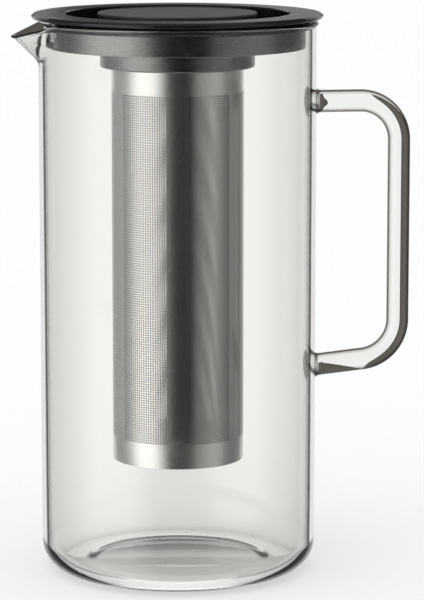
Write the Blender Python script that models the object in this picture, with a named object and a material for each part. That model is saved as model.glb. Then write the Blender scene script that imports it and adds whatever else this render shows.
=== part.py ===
"""Glass jug with a pinched spout and a rod handle, a push-in lid and a lift-out infuser.

The jug stands on z = 0 with its axis on Z. The spout points to -X and the handle to +X.
Lid, infuser and cap are measured from the jug's rim, so they follow its height.
"""

import math

import bmesh
import bpy
from mathutils import Vector

GAP = 0.0003
SEGMENTS = 48
FILLET_STEPS = 2
FILLET_LIMIT = 0.49  # the largest share of an edge that one fillet takes
SHARP_ANGLE = math.radians(35.0)
JOINT_MARK = 0.02

BODY_HEIGHT = 0.2203
BODY_RADIUS = 0.055
GLASS_WALL = 0.002
BASE_THICKNESS = 0.0032
FOOT_FILLET = 0.0113
FOOT_STEPS = 6
BEAD_FLARE = 0.0008
BEAD_HEIGHT = 0.0030
BEAD_ROUND = 0.0012
BEAD_STEPS = 4

SPOUT_REACH = 0.0108
SPOUT_DIP = 0.0050
SPOUT_DEPTH = 0.0180
SPOUT_EASE = 0.0044
SPOUT_HALF_ANGLE = math.radians(22.0)
SPOUT_KEEL_ANGLE = math.radians(8.0)
SPOUT_WIDENING = 1.5
SPOUT_TIP_ROUND = math.radians(4.0)
SPOUT_COLUMNS = 16
SPOUT_ROWS = 7

ROD_RADIUS = 0.0045
ROD_SIDES = 16
HANDLE_REACH = 0.0348
HANDLE_BEND = 0.0160
HANDLE_BEND_STEPS = 8
HANDLE_TOP_DROP = 0.0327
HANDLE_BOTTOM_HEIGHT = 0.0806
HANDLE_RISE = math.radians(5.5)
WELD_RADIUS = 0.0062
WELD_LENGTH = 0.0030

LIP_OVERHANG = 0.0027
LIP_TOP = 0.0032
LIP_FILLET = 0.0006
LIP_EDGE = 0.0011
LID_WALL = 0.0018
WELL_DEPTH = 0.0085
HUB_WALL = 0.0020
HUB_STEP = 0.0020

SKIRT_CLEARANCE = 0.0023
SKIRT_WALL = 0.0024
SKIRT_HEIGHT = 0.0102
SKIRT_FLANGE = 0.0020
SKIRT_FLANGE_THICKNESS = 0.0018
GROOVE_DEPTH = 0.0013
GROOVE_HEIGHT = 0.0020
GASKET_FILLET = 0.0007

WINDOW_TOP_ANGLE = math.radians(17.0)
WINDOW_BOTTOM_ANGLE = math.radians(12.6)
WINDOW_MARGIN = 0.0010
STRAINER_THICKNESS = 0.0006
STRAINER_OVERLAP = 0.0010
STRAINER_STEPS = 14

INFUSER_RADIUS = 0.0262
INFUSER_WALL = 0.0005
INFUSER_FLOOR_CLEARANCE = 0.0418
INFUSER_FLANGE_WIDTH = 0.0028
INFUSER_BASE_HEIGHT = 0.0090
INFUSER_BASE_FILLET = 0.0015
COLLAR_WALL = 0.0042
COLLAR_DROP = 0.0078
COLLAR_CLEARANCE = 0.0005
COLLAR_FLANGE_THICKNESS = 0.0014
COLLAR_LEDGE_DEPTH = 0.0057
COLLAR_FILLET = 0.0008

CAP_INSET = 0.0014
CAP_PLATE_THICKNESS = 0.0013
CAP_PLATE_RISE = 0.0003
CAP_PLATE_LIP = 0.0004
CAP_WALL = 0.0020
CAP_PLUG_DEPTH = 0.0043
CAP_PLUG_CLEARANCE = 0.0007
CAP_SEAL_GROOVE = 0.0012
CAP_SEAL_HEIGHT = 0.0016
CAP_SEAL_OFFSET = 0.0013

GLASS_INNER = BODY_RADIUS - GLASS_WALL

LIP_RADIUS = BODY_RADIUS + LIP_OVERHANG
SKIRT_OUTER = GLASS_INNER - SKIRT_CLEARANCE
SKIRT_INNER = SKIRT_OUTER - SKIRT_WALL
GROOVE_RADIUS = SKIRT_OUTER - GROOVE_DEPTH
FLANGE_INNER = SKIRT_INNER - SKIRT_FLANGE
WELL_OUTER = FLANGE_INNER - GAP
WELL_INNER = WELL_OUTER - LID_WALL

COLLAR_INNER = INFUSER_RADIUS + GAP
COLLAR_OUTER = COLLAR_INNER + COLLAR_WALL
BORE_RADIUS = COLLAR_OUTER + COLLAR_CLEARANCE
HUB_OUTER = BORE_RADIUS + HUB_WALL
COLLAR_FLANGE_RADIUS = HUB_OUTER - GAP
CAP_RADIUS = COLLAR_FLANGE_RADIUS - CAP_INSET

WELL_FLOOR = LIP_TOP - WELL_DEPTH
HUB_TOP = WELL_FLOOR + HUB_STEP
HUB_BOTTOM = -SKIRT_HEIGHT
COLLAR_FLANGE_BOTTOM = HUB_TOP + GAP
COLLAR_FLANGE_TOP = COLLAR_FLANGE_BOTTOM + COLLAR_FLANGE_THICKNESS
COLLAR_BOTTOM = -SKIRT_HEIGHT - COLLAR_DROP
LEDGE = COLLAR_FLANGE_TOP - COLLAR_LEDGE_DEPTH
INFUSER_FLANGE_RADIUS = INFUSER_RADIUS + INFUSER_FLANGE_WIDTH
COUNTERBORE_RADIUS = INFUSER_FLANGE_RADIUS + GAP
INFUSER_BOTTOM = BASE_THICKNESS + INFUSER_FLOOR_CLEARANCE - BODY_HEIGHT
CAP_BOTTOM = COLLAR_FLANGE_TOP + GAP
PLATE_TOP = LIP_TOP + CAP_PLATE_RISE
PLATE_BOTTOM = PLATE_TOP - CAP_PLATE_THICKNESS
CAP_TOP = PLATE_BOTTOM - GAP
PLUG_RADIUS = COUNTERBORE_RADIUS - CAP_PLUG_CLEARANCE


def clear_scene():
    for item in list(bpy.data.objects):
        bpy.data.objects.remove(item, do_unlink=True)


def finish(name, colour, roughness, metallic=0.0, transmission=0.0):
    """A Principled material of one colour."""
    material = bpy.data.materials.new(name)
    material.use_nodes = True
    shader = material.node_tree.nodes["Principled BSDF"]
    shader.inputs["Base Color"].default_value = (*colour, 1.0)
    shader.inputs["Roughness"].default_value = roughness
    shader.inputs["Metallic"].default_value = metallic
    shader.inputs["Transmission Weight"].default_value = transmission
    material.diffuse_color = (*colour, 1.0)
    return material


def clear_glass(name):
    return finish(name, (0.96, 0.97, 0.96), 0.02, transmission=1.0)


def gloss_black(name):
    return finish(name, (0.012, 0.012, 0.013), 0.12)


def satin_black(name):
    return finish(name, (0.030, 0.030, 0.030), 0.38)


def satin_grey(name):
    return finish(name, (0.10, 0.10, 0.10), 0.45)


def silicone(name):
    return finish(name, (0.035, 0.035, 0.035), 0.60)


def steel(name):
    return finish(name, (0.62, 0.61, 0.59), 0.28, metallic=1.0)


def joint_point(name, height, parent=None):
    """An empty on the jug's axis, which carries the pieces of one moving body."""
    empty = bpy.data.objects.new(name, None)
    empty.empty_display_size = JOINT_MARK
    bpy.context.scene.collection.objects.link(empty)
    empty.parent = parent
    empty.location = (0.0, 0.0, height)
    return empty


def rounded(corners, steps=FILLET_STEPS):
    """The closed outline of (radius, height, fillet) corners, with an arc at each fillet."""
    outline = []
    for index, (radius, height, fillet) in enumerate(corners):
        here = Vector((radius, height))
        if fillet <= 0.0:
            outline.append(here)
            continue
        before = Vector(corners[index - 1][:2]) - here
        after = Vector(corners[(index + 1) % len(corners)][:2]) - here
        half = before.angle(after) / 2.0
        shorter = min(before.length, after.length)
        reach = min(fillet / math.tan(half), FILLET_LIMIT * shorter)
        middle = here + (before.normalized() + after.normalized()).normalized() * (
            reach / math.cos(half)
        )
        start = here + before.normalized() * reach - middle
        end = here + after.normalized() * reach - middle
        sweep = start.angle_signed(end)
        for step in range(steps + 1):
            turn = -sweep * step / steps
            outline.append(middle + turned_by(start, turn))
    return outline


def turned_by(vector, angle):
    """The 2-D vector turned anticlockwise."""
    cosine, sine = math.cos(angle), math.sin(angle)
    return Vector(
        (vector.x * cosine - vector.y * sine, vector.x * sine + vector.y * cosine)
    )


def add_object(name, mesh_data, material, parent):
    bmesh.ops.recalc_face_normals(mesh_data, faces=mesh_data.faces[:])
    mesh = bpy.data.meshes.new(name)
    mesh_data.to_mesh(mesh)
    mesh_data.free()
    mesh.shade_smooth()
    mesh.set_sharp_from_angle(angle=SHARP_ANGLE)
    mesh.materials.append(material)
    piece = bpy.data.objects.new(name, mesh)
    bpy.context.scene.collection.objects.link(piece)
    piece.parent = parent
    return piece


def round_angles():
    return [2.0 * math.pi * step / SEGMENTS for step in range(SEGMENTS)]


def plain_point(angle, radius, height):
    return Vector((radius * math.cos(angle), radius * math.sin(angle), height))


def turned(name, outline, material, parent, angles=None, place=plain_point):
    """A piece turned round Z. An outline point at radius 0 becomes one vertex."""
    angles = angles or round_angles()
    mesh_data = bmesh.new()
    rings = []
    for radius, height in outline:
        if radius <= 0.0:
            rings.append([mesh_data.verts.new((0.0, 0.0, height))] * len(angles))
        else:
            rings.append([mesh_data.verts.new(place(a, radius, height)) for a in angles])
    for ring, following in zip(rings, rings[1:] + rings[:1]):
        if ring[0] is ring[1] and following[0] is following[1]:
            continue
        for column in range(len(angles)):
            following_column = (column + 1) % len(angles)
            corners = [
                ring[column],
                ring[following_column],
                following[following_column],
                following[column],
            ]
            mesh_data.faces.new(list(dict.fromkeys(corners)))
    return add_object(name, mesh_data, material, parent)


def body_angles():
    """Even columns round the jug, with finer ones across the spout at 180 degrees."""
    spacing = 2.0 * math.pi / SEGMENTS
    cells = math.ceil(SPOUT_HALF_ANGLE / spacing)
    half = cells * spacing
    angles = [math.pi + half + spacing * step for step in range(SEGMENTS - 2 * cells)]
    fine = 2.0 * half / SPOUT_COLUMNS
    angles += [math.pi - half + fine * step for step in range(SPOUT_COLUMNS)]
    return angles


def spout_ramp(climb):
    """How far the keel stands out at a climb above its lowest point."""
    if climb < SPOUT_EASE:
        return climb * climb / (2.0 * SPOUT_EASE)
    return climb - SPOUT_EASE / 2.0


def round_off(aside):
    """An angle whose sharp turn at 0 is rounded, for the spout's tip."""
    return math.hypot(aside, SPOUT_TIP_ROUND) - SPOUT_TIP_ROUND


def spout_point(angle, radius, height):
    """Draws the wall out to a V with straight sides near the rim, and dips the rim to its tip."""
    foot = BODY_HEIGHT - SPOUT_DEPTH
    aside = abs(angle % (2.0 * math.pi) - math.pi)
    share = (height - foot) / SPOUT_DEPTH
    widening = min(1.0, SPOUT_WIDENING * share)
    half = SPOUT_KEEL_ANGLE + (SPOUT_HALF_ANGLE - SPOUT_KEEL_ANGLE) * widening
    if share <= 0.0 or aside >= half:
        return plain_point(angle, radius, height)
    aside = half * round_off(aside) / round_off(half)
    keel_dip = SPOUT_DIP * share
    climb = height - keel_dip - foot
    tip = radius + SPOUT_REACH * spout_ramp(climb) / spout_ramp(SPOUT_DEPTH - SPOUT_DIP)
    side = radius * tip * math.sin(half)
    side /= tip * math.sin(aside) + radius * math.sin(half - aside)
    from_tip = side * math.sin(aside) / (radius * math.sin(half))
    return plain_point(angle, side, height - keel_dip * (1.0 - from_tip))


def glass_outline():
    """The beaker's section from the middle of its foot, up and over the rim, to its floor."""
    foot = [
        (
            BODY_RADIUS - FOOT_FILLET + FOOT_FILLET * math.sin(turn),
            FOOT_FILLET - FOOT_FILLET * math.cos(turn),
        )
        for turn in quarter_steps(FOOT_STEPS)
    ]
    inner_fillet = max(FOOT_FILLET - GLASS_WALL, GLASS_WALL)
    floor = [
        (
            GLASS_INNER - inner_fillet + inner_fillet * math.cos(turn),
            BASE_THICKNESS + inner_fillet - inner_fillet * math.sin(turn),
        )
        for turn in quarter_steps(FOOT_STEPS)
    ]
    spout_foot = BODY_HEIGHT - SPOUT_DEPTH
    bead_foot = BODY_HEIGHT - BEAD_HEIGHT
    rows = [
        spout_foot + (bead_foot - spout_foot) * step / SPOUT_ROWS
        for step in range(SPOUT_ROWS + 1)
    ]
    bead_half = (GLASS_WALL + BEAD_FLARE) / 2.0
    bead = [
        (
            GLASS_INNER + bead_half + bead_half * math.cos(turn),
            BODY_HEIGHT - BEAD_ROUND + BEAD_ROUND * math.sin(turn),
        )
        for turn in (math.pi * step / BEAD_STEPS for step in range(BEAD_STEPS + 1))
    ]
    outline = [(0.0, 0.0)] + foot
    outline += [(BODY_RADIUS, height) for height in rows]
    outline += bead
    outline += [(GLASS_INNER, height) for height in reversed(rows)]
    return outline + floor + [(0.0, BASE_THICKNESS)]


def quarter_steps(steps):
    return [0.5 * math.pi * step / steps for step in range(steps + 1)]


def make_glass_body():
    outline = glass_outline()
    return turned("glass_body", outline, clear_glass("glass_body"), None, body_angles(), spout_point)


def handle_route():
    """Centre line of the handle in the XZ plane, from the upper weld to the lower one."""
    wall = BODY_RADIUS + GAP
    bar = BODY_RADIUS + HANDLE_REACH
    top = BODY_HEIGHT - HANDLE_TOP_DROP
    route = [(wall, top), (wall + WELD_LENGTH, top)]
    route += bend((bar - HANDLE_BEND, top - HANDLE_BEND), math.pi / 2.0, 0.0)
    low = HANDLE_BOTTOM_HEIGHT
    slope = math.tan(HANDLE_RISE)
    # The lower arm rises outwards, so its bend turns less than a quarter.
    centre_x = bar - HANDLE_BEND
    centre_z = low + (centre_x - wall) * slope + HANDLE_BEND / math.cos(HANDLE_RISE)
    route += bend((centre_x, centre_z), 0.0, HANDLE_RISE - math.pi / 2.0)
    route += [(wall + WELD_LENGTH, low + WELD_LENGTH * slope), (wall, low)]
    return route


def bend(centre, first, last):
    """Points on an arc of the handle's bend radius, from one angle to another."""
    points = []
    for step in range(HANDLE_BEND_STEPS + 1):
        angle = first + (last - first) * step / HANDLE_BEND_STEPS
        points.append(
            (
                centre[0] + HANDLE_BEND * math.cos(angle),
                centre[1] + HANDLE_BEND * math.sin(angle),
            )
        )
    return points


def make_glass_handle():
    """A bent rod whose ends flare into welds and follow the round wall."""
    route = [Vector(point) for point in handle_route()]
    wall = BODY_RADIUS + GAP
    mesh_data = bmesh.new()
    rings = []
    for index, centre in enumerate(route):
        before = route[max(index - 1, 0)]
        after = route[min(index + 1, len(route) - 1)]
        along = (after - before).normalized()
        at_weld = index in (0, len(route) - 1)
        radius = WELD_RADIUS if at_weld else ROD_RADIUS
        ring = []
        for side in range(ROD_SIDES):
            angle = 2.0 * math.pi * side / ROD_SIDES
            out = radius * math.cos(angle)
            y = radius * math.sin(angle)
            x = centre.x - along.y * out
            z = centre.y + along.x * out
            if at_weld:
                x = math.sqrt(wall * wall - y * y)
            ring.append(mesh_data.verts.new((x, y, z)))
        rings.append(ring)
    for ring, following in zip(rings, rings[1:]):
        for side in range(ROD_SIDES):
            beside = (side + 1) % ROD_SIDES
            mesh_data.faces.new(
                (ring[side], ring[beside], following[beside], following[side])
            )
    close_round_end(mesh_data, rings[0])
    close_round_end(mesh_data, rings[-1])
    return add_object("glass_handle", mesh_data, clear_glass("glass_handle"), None)


def close_round_end(mesh_data, ring):
    """Closes a weld with a fan to a point on the wall."""
    middle = sum((vertex.co for vertex in ring), Vector()) / len(ring)
    middle.x = BODY_RADIUS + GAP
    hub = mesh_data.verts.new(middle)
    for vertex, beside in zip(ring, ring[1:] + ring[:1]):
        mesh_data.faces.new((vertex, beside, hub))


def make_lid_gasket(seat):
    inner = GROOVE_RADIUS + GAP
    outer = GLASS_INNER - GAP
    corners = [
        (outer, 0.0, GASKET_FILLET),
        (outer, GAP - GROOVE_HEIGHT, GASKET_FILLET),
        (inner, GAP - GROOVE_HEIGHT, 0.0),
        (inner, 0.0, 0.0),
    ]
    return turned("lid_gasket", rounded(corners), silicone("lid_gasket"), seat)


def make_lid_top(seat):
    """Lip, finger well and hub in one moulding."""
    floor_under = WELL_FLOOR - LID_WALL
    corners = [
        (LIP_RADIUS, LIP_TOP, LIP_FILLET),
        (LIP_RADIUS, LIP_TOP - LIP_EDGE, LIP_FILLET),
        (BODY_RADIUS, GAP, 0.0),
        (WELL_OUTER, GAP, 0.0),
        (WELL_OUTER, floor_under, LID_WALL / 2.0),
        (HUB_OUTER, floor_under, 0.0),
        (HUB_OUTER, HUB_BOTTOM, 0.0),
        (BORE_RADIUS, HUB_BOTTOM, 0.0),
        (BORE_RADIUS, HUB_TOP, 0.0),
        (HUB_OUTER, HUB_TOP, 0.0),
        (HUB_OUTER, WELL_FLOOR, 0.0),
        (WELL_INNER, WELL_FLOOR, LID_WALL / 2.0),
        (WELL_INNER, LIP_TOP, LIP_FILLET),
    ]
    return turned("lid_top", rounded(corners), gloss_black("lid_top"), seat)


def window_heights():
    return -SKIRT_HEIGHT + WINDOW_MARGIN, -GROOVE_HEIGHT - 1.5 * WINDOW_MARGIN


def window_cutter(seat):
    """A wedge through the skirt on the spout's side, wider at its top."""
    low, high = window_heights()
    near = -(SKIRT_INNER * math.cos(WINDOW_TOP_ANGLE) - SKIRT_WALL)
    far = -(SKIRT_OUTER + SKIRT_WALL)
    top = SKIRT_OUTER * math.sin(WINDOW_TOP_ANGLE)
    bottom = SKIRT_OUTER * math.sin(WINDOW_BOTTOM_ANGLE)
    section = [(-bottom, low), (bottom, low), (top, high), (-top, high)]
    mesh_data = bmesh.new()
    face = mesh_data.faces.new([mesh_data.verts.new((near, y, z)) for y, z in section])
    grown = bmesh.ops.extrude_face_region(mesh_data, geom=[face])
    moved = [item for item in grown["geom"] if isinstance(item, bmesh.types.BMVert)]
    bmesh.ops.translate(mesh_data, verts=moved, vec=(far - near, 0.0, 0.0))
    cutter = add_object("window_cutter", mesh_data, satin_black("cutter"), seat)
    cutter.hide_render = True
    cutter.display_type = "WIRE"
    return cutter


def make_lid_skirt(seat):
    corners = [
        (SKIRT_OUTER, -GROOVE_HEIGHT, 0.0),
        (SKIRT_OUTER, -SKIRT_HEIGHT, 0.0),
        (SKIRT_INNER, -SKIRT_HEIGHT, 0.0),
        (SKIRT_INNER, -SKIRT_FLANGE_THICKNESS, 0.0),
        (FLANGE_INNER, -SKIRT_FLANGE_THICKNESS, 0.0),
        (FLANGE_INNER, 0.0, 0.0),
        (GROOVE_RADIUS, 0.0, 0.0),
        (GROOVE_RADIUS, -GROOVE_HEIGHT, 0.0),
    ]
    skirt = turned("lid_skirt", rounded(corners), satin_black("lid_skirt"), seat)
    window = skirt.modifiers.new("pour_window", "BOOLEAN")
    window.operation = "DIFFERENCE"
    window.solver = "EXACT"
    window.object = window_cutter(seat)
    return skirt


def make_pour_strainer(seat):
    """A curved plate that covers the pour window from inside the skirt."""
    outer = SKIRT_INNER - GAP
    inner = outer - STRAINER_THICKNESS
    window_low, window_high = window_heights()
    low = window_low - STRAINER_OVERLAP / 2.0
    high = window_high + STRAINER_OVERLAP
    half = WINDOW_TOP_ANGLE + STRAINER_OVERLAP / SKIRT_INNER
    mesh_data = bmesh.new()
    columns = []
    for step in range(STRAINER_STEPS + 1):
        angle = math.pi - half + 2.0 * half * step / STRAINER_STEPS
        corners = [(outer, low), (outer, high), (inner, high), (inner, low)]
        columns.append([mesh_data.verts.new(plain_point(angle, r, z)) for r, z in corners])
    for column, following in zip(columns, columns[1:]):
        for corner in range(len(column)):
            beside = (corner + 1) % len(column)
            mesh_data.faces.new(
                (column[corner], column[beside], following[beside], following[corner])
            )
    mesh_data.faces.new(columns[0])
    mesh_data.faces.new(columns[-1])
    return add_object("pour_strainer", mesh_data, steel("pour_strainer"), seat)


def make_infuser_collar(seat):
    corners = [
        (COLLAR_FLANGE_RADIUS, COLLAR_FLANGE_TOP, 0.0),
        (COLLAR_FLANGE_RADIUS, COLLAR_FLANGE_BOTTOM, 0.0),
        (COLLAR_OUTER, COLLAR_FLANGE_BOTTOM, 0.0),
        (COLLAR_OUTER, COLLAR_BOTTOM, COLLAR_FILLET),
        (COLLAR_INNER, COLLAR_BOTTOM, 0.0),
        (COLLAR_INNER, LEDGE, 0.0),
        (COUNTERBORE_RADIUS, LEDGE, 0.0),
        (COUNTERBORE_RADIUS, COLLAR_FLANGE_TOP, 0.0),
    ]
    return turned("infuser_collar", rounded(corners), satin_black("infuser_collar"), seat)


def make_infuser_tube(seat):
    flange_bottom = LEDGE + GAP
    flange_top = flange_bottom + INFUSER_WALL
    inner = INFUSER_RADIUS - INFUSER_WALL
    corners = [
        (INFUSER_FLANGE_RADIUS, flange_top, 0.0),
        (INFUSER_FLANGE_RADIUS, flange_bottom, 0.0),
        (INFUSER_RADIUS, flange_bottom, 0.0),
        (INFUSER_RADIUS, INFUSER_BOTTOM, 0.0),
        (inner, INFUSER_BOTTOM, 0.0),
        (inner, flange_top, 0.0),
    ]
    return turned("infuser_tube", rounded(corners), steel("infuser_tube"), seat)


def make_infuser_base(seat):
    """A pressed cup that closes the tube from inside."""
    outer = INFUSER_RADIUS - INFUSER_WALL - GAP
    inner = outer - INFUSER_WALL
    top = INFUSER_BOTTOM + INFUSER_BASE_HEIGHT
    floor = INFUSER_BOTTOM + INFUSER_WALL
    corners = [
        (0.0, INFUSER_BOTTOM, 0.0),
        (outer, INFUSER_BOTTOM, INFUSER_BASE_FILLET),
        (outer, top, 0.0),
        (inner, top, 0.0),
        (inner, floor, INFUSER_BASE_FILLET - INFUSER_WALL),
        (0.0, floor, 0.0),
    ]
    return turned("infuser_base", rounded(corners), steel("infuser_base"), seat)


def make_cap_body(seat):
    """A hollow knob whose plug fills the top of the collar."""
    rim_radius = CAP_RADIUS - CAP_PLATE_LIP
    plug_bottom = CAP_BOTTOM - CAP_PLUG_DEPTH
    groove_top = CAP_BOTTOM - CAP_SEAL_OFFSET
    groove_bottom = groove_top - CAP_SEAL_HEIGHT
    groove_radius = PLUG_RADIUS - CAP_SEAL_GROOVE
    hollow = groove_radius - CAP_WALL
    corners = [
        (0.0, CAP_TOP, 0.0),
        (rim_radius, CAP_TOP, 0.0),
        (rim_radius, CAP_BOTTOM, 0.0),
        (PLUG_RADIUS, CAP_BOTTOM, 0.0),
        (PLUG_RADIUS, groove_top, 0.0),
        (groove_radius, groove_top, 0.0),
        (groove_radius, groove_bottom, 0.0),
        (PLUG_RADIUS, groove_bottom, 0.0),
        (PLUG_RADIUS, plug_bottom, 0.0),
        (hollow, plug_bottom, 0.0),
        (hollow, CAP_TOP - CAP_WALL, 0.0),
        (0.0, CAP_TOP - CAP_WALL, 0.0),
    ]
    return turned("cap_body", rounded(corners), satin_black("cap_body"), seat)


def make_cap_plate(seat):
    corners = [
        (0.0, PLATE_TOP, 0.0),
        (CAP_RADIUS, PLATE_TOP, CAP_PLATE_LIP),
        (CAP_RADIUS, PLATE_BOTTOM, 0.0),
        (0.0, PLATE_BOTTOM, 0.0),
    ]
    return turned("cap_plate", rounded(corners), satin_grey("cap_plate"), seat)


def make_cap_seal(seat):
    top = CAP_BOTTOM - CAP_SEAL_OFFSET - GAP
    bottom = top - CAP_SEAL_HEIGHT + 2.0 * GAP
    inner = PLUG_RADIUS - CAP_SEAL_GROOVE + GAP
    outer = COUNTERBORE_RADIUS - GAP
    half = (top - bottom) / 2.0
    corners = [
        (outer, top, half),
        (outer, bottom, half),
        (inner, bottom, 0.0),
        (inner, top, 0.0),
    ]
    return turned("cap_seal", rounded(corners), silicone("cap_seal"), seat)


def main():
    clear_scene()
    make_glass_body()
    make_glass_handle()
    seal_seat = joint_point("lid_lift_point", BODY_HEIGHT)
    make_lid_gasket(seal_seat)
    lid_seat = joint_point("lid_turn_point", 0.0, seal_seat)
    make_lid_top(lid_seat)
    make_lid_skirt(lid_seat)
    make_pour_strainer(lid_seat)
    infuser_seat = joint_point("infuser_lift_point", 0.0, lid_seat)
    make_infuser_collar(infuser_seat)
    make_infuser_tube(infuser_seat)
    make_infuser_base(infuser_seat)
    cap_seat = joint_point("cap_lift_point", 0.0, infuser_seat)
    make_cap_body(cap_seat)
    make_cap_plate(cap_seat)
    make_cap_seal(cap_seat)


main()
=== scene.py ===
"""Studio picture of a clear glass jug with a turning push-in lid and a lift-out steel infuser.

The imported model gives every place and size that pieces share. Lengths are in metres, +Z is up,
the jug's axis is on Z, the spout points to -X and the handle to +X.
"""

import math

import bmesh
import bpy
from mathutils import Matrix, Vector


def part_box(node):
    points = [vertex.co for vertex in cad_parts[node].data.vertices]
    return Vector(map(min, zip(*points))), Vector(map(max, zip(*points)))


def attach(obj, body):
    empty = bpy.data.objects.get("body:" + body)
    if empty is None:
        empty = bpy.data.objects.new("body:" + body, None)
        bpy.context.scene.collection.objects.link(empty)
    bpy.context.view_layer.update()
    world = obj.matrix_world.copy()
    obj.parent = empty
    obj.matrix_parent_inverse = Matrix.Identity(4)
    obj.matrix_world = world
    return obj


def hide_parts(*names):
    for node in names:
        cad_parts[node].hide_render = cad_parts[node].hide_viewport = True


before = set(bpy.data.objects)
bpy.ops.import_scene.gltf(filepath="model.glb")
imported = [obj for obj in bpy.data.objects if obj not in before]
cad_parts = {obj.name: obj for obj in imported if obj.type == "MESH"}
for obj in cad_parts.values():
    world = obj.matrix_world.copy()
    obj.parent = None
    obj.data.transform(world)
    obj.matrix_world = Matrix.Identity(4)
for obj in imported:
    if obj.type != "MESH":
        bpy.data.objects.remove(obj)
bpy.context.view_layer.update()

# Fine divisions of round shapes
COLUMNS = 192
ARC_STEPS = 6
SHARP_ANGLE = math.radians(32.0)

# Glass body
GLASS_WALL = 0.0020
BASE_THICKNESS = 0.0032
FOOT_FILLET = 0.0113
PUNT_RISE = 0.0007
PUNT_RADIUS = 0.0380
PUNT_EASE = 0.0060
PUNT_STEPS = 8
PLAIN_ROWS = 8
BEAD_FLARE = 0.0008
BEAD_HEIGHT = 0.0020
BEAD_ROUND = 0.0012
BEAD_ROWS = 6
BODY_COLUMN = math.radians(1.5)
BODY_SHARP = math.radians(60.0)

# Spout
SPOUT_REACH = 0.01075
SPOUT_DIP = 0.0050
SPOUT_DEPTH = 0.0180
SPOUT_EASE = 0.0044
SPOUT_HALF_ANGLE = math.radians(22.0)
SPOUT_ZONE = 1.5 * SPOUT_HALF_ANGLE
SPOUT_KEEL_ANGLE = math.radians(8.0)
SPOUT_WIDENING = 1.5
SPOUT_TIP_ROUND = math.radians(4.0)
SPOUT_CREASE = 0.0007
LEAST_CREASE = 1e-6
SPOUT_DIP_EASE = 0.2
SPOUT_COLUMN = math.radians(0.5)
SPOUT_ROWS = 40

# Handle
ROD_RADIUS = 0.0045
ROD_SIDES = 40
HANDLE_BEND = 0.0160
HANDLE_TOP_DROP = 0.0327
HANDLE_BOTTOM_HEIGHT = 0.0806
HANDLE_RISE = math.radians(5.5)
HANDLE_STEP = math.radians(3.0)
WELD_FLARE = 0.0017
WELD_LENGTH = 0.0034
WELD_STEPS = 10
WELD_GAP = 0.00004
WELD_FACE_RINGS = (0.75, 0.5, 0.25)
HANDLE_SHARP = math.radians(50.0)

GLASS_IOR = 1.47
GLASS_ROUGHNESS = 0.004

# Painted dark lines on the outer skin, standing in for the doubled outline of the inner wall, as
# slants from its middle and strengths
PAINTED_WALL_LINE_STOPS = (
    (-0.085, 0.0), (-0.055, 0.7), (-0.040, 0.4), (-0.022, 1.0), (0.018, 1.0), (0.040, 0.0),
)

# Strength of the painted edge shade where the outer skin is seen fully along
PAINTED_EDGE_SHADE_LEVEL = 0.15

# Perforated steel
HOLE_PITCH = 0.00094
HOLE_SIZE = 0.00060
SHEET = 0.0005
PANELS = 6
PANEL_STRIP = math.radians(15.0)
PANEL_COLUMNS = 20
PANEL_PHASE = math.radians(260.0)
PLAIN_BAND = 0.0094
STRIP_STEPS = 6
BAND_ARC_STEPS = 3
FLANGE_REACH = 0.0028
CUP_RISE = 0.0004
CUP_RING = 0.0050
CUP_MIDDLE = 0.0060
SHEET_SHARP = math.radians(40.0)
BRUSH_LINES = 9000.0

# Lid, collar and cap, as radii and as heights from the rim
LIP_UNDER = 0.0003
BARREL_RADIUS = 0.0460
BARREL_UNDER = -0.0071
WELL_RADIUS = 0.0442
WELL_FLOOR = -0.0053
WELL_EDGE = 0.0448
HUB_OUTER = 0.0332
HUB_INNER = 0.0312
HUB_LOW = -0.0102
HUB_TOP = -0.0033
GASKET_GAP = 0.0003
GASKET_INNER = 0.0497
GASKET_LOW = -0.0017
GASKET_GROOVE = 0.0006
SKIRT_OUTER = 0.0507
SKIRT_INNER = 0.0483
SKIRT_LOW = -0.0102
SKIRT_NECK = 0.0494
SKIRT_SHOULDER = -0.0020
SLEEVE_INNER = 0.0463
SLEEVE_LOW = -0.0018
WINDOW_NEAR = -0.0440
WINDOW_FAR = -0.0530
WINDOW_LOW = -0.0092
WINDOW_TOP = -0.0035
WINDOW_LOW_ANGLE = math.radians(12.6)
WINDOW_TOP_ANGLE = math.radians(17.0)
COLLAR_OUTER = 0.0307
COLLAR_INNER = 0.0265
COLLAR_LOW = -0.0180
COLLAR_FLANGE = 0.0329
COLLAR_FLANGE_LOW = -0.0030
COLLAR_TOP = -0.0016
COLLAR_SEAT = 0.0293
COLLAR_SEAT_LOW = -0.0073
PLATE_THICKNESS = 0.0013
CAP_INSET = 0.0004
CAP_TOP = 0.0019
CAP_UNDER = -0.0013
CAP_CEILING = -0.0001
PLUG_OUTER = 0.0286
PLUG_INNER = 0.0254
PLUG_LOW = -0.0056
PLUG_GROOVE = 0.0274
PLUG_GROOVE_TOP = -0.0026
PLUG_GROOVE_LOW = -0.0042
SEAL_OUTER = 0.0290
SEAL_INNER = 0.0277
SEAL_TOP = -0.0029
SEAL_LOW = -0.0039

body_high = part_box("glass_body")[1]
RIM = body_high.z
BODY_RADIUS = body_high.y - BEAD_FLARE
GLASS_INNER = BODY_RADIUS - GLASS_WALL


def smooth_step(value):
    value = min(max(value, 0.0), 1.0)
    return value * value * (3.0 - 2.0 * value)


def soft_max(one, other, width):
    """The larger of two values, with the corner between them rounded over a width."""
    near = max(width - abs(one - other), 0.0) / width
    return max(one, other) + near * near * width / 4.0


def arc(centre, radius, first, last, steps):
    """Points on an arc; radius may be a pair for an ellipse."""
    across, up = radius if isinstance(radius, tuple) else (radius, radius)
    return [
        (
            centre[0] + across * math.cos(first + (last - first) * step / steps),
            centre[1] + up * math.sin(first + (last - first) * step / steps),
        )
        for step in range(steps + 1)
    ]


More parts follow.
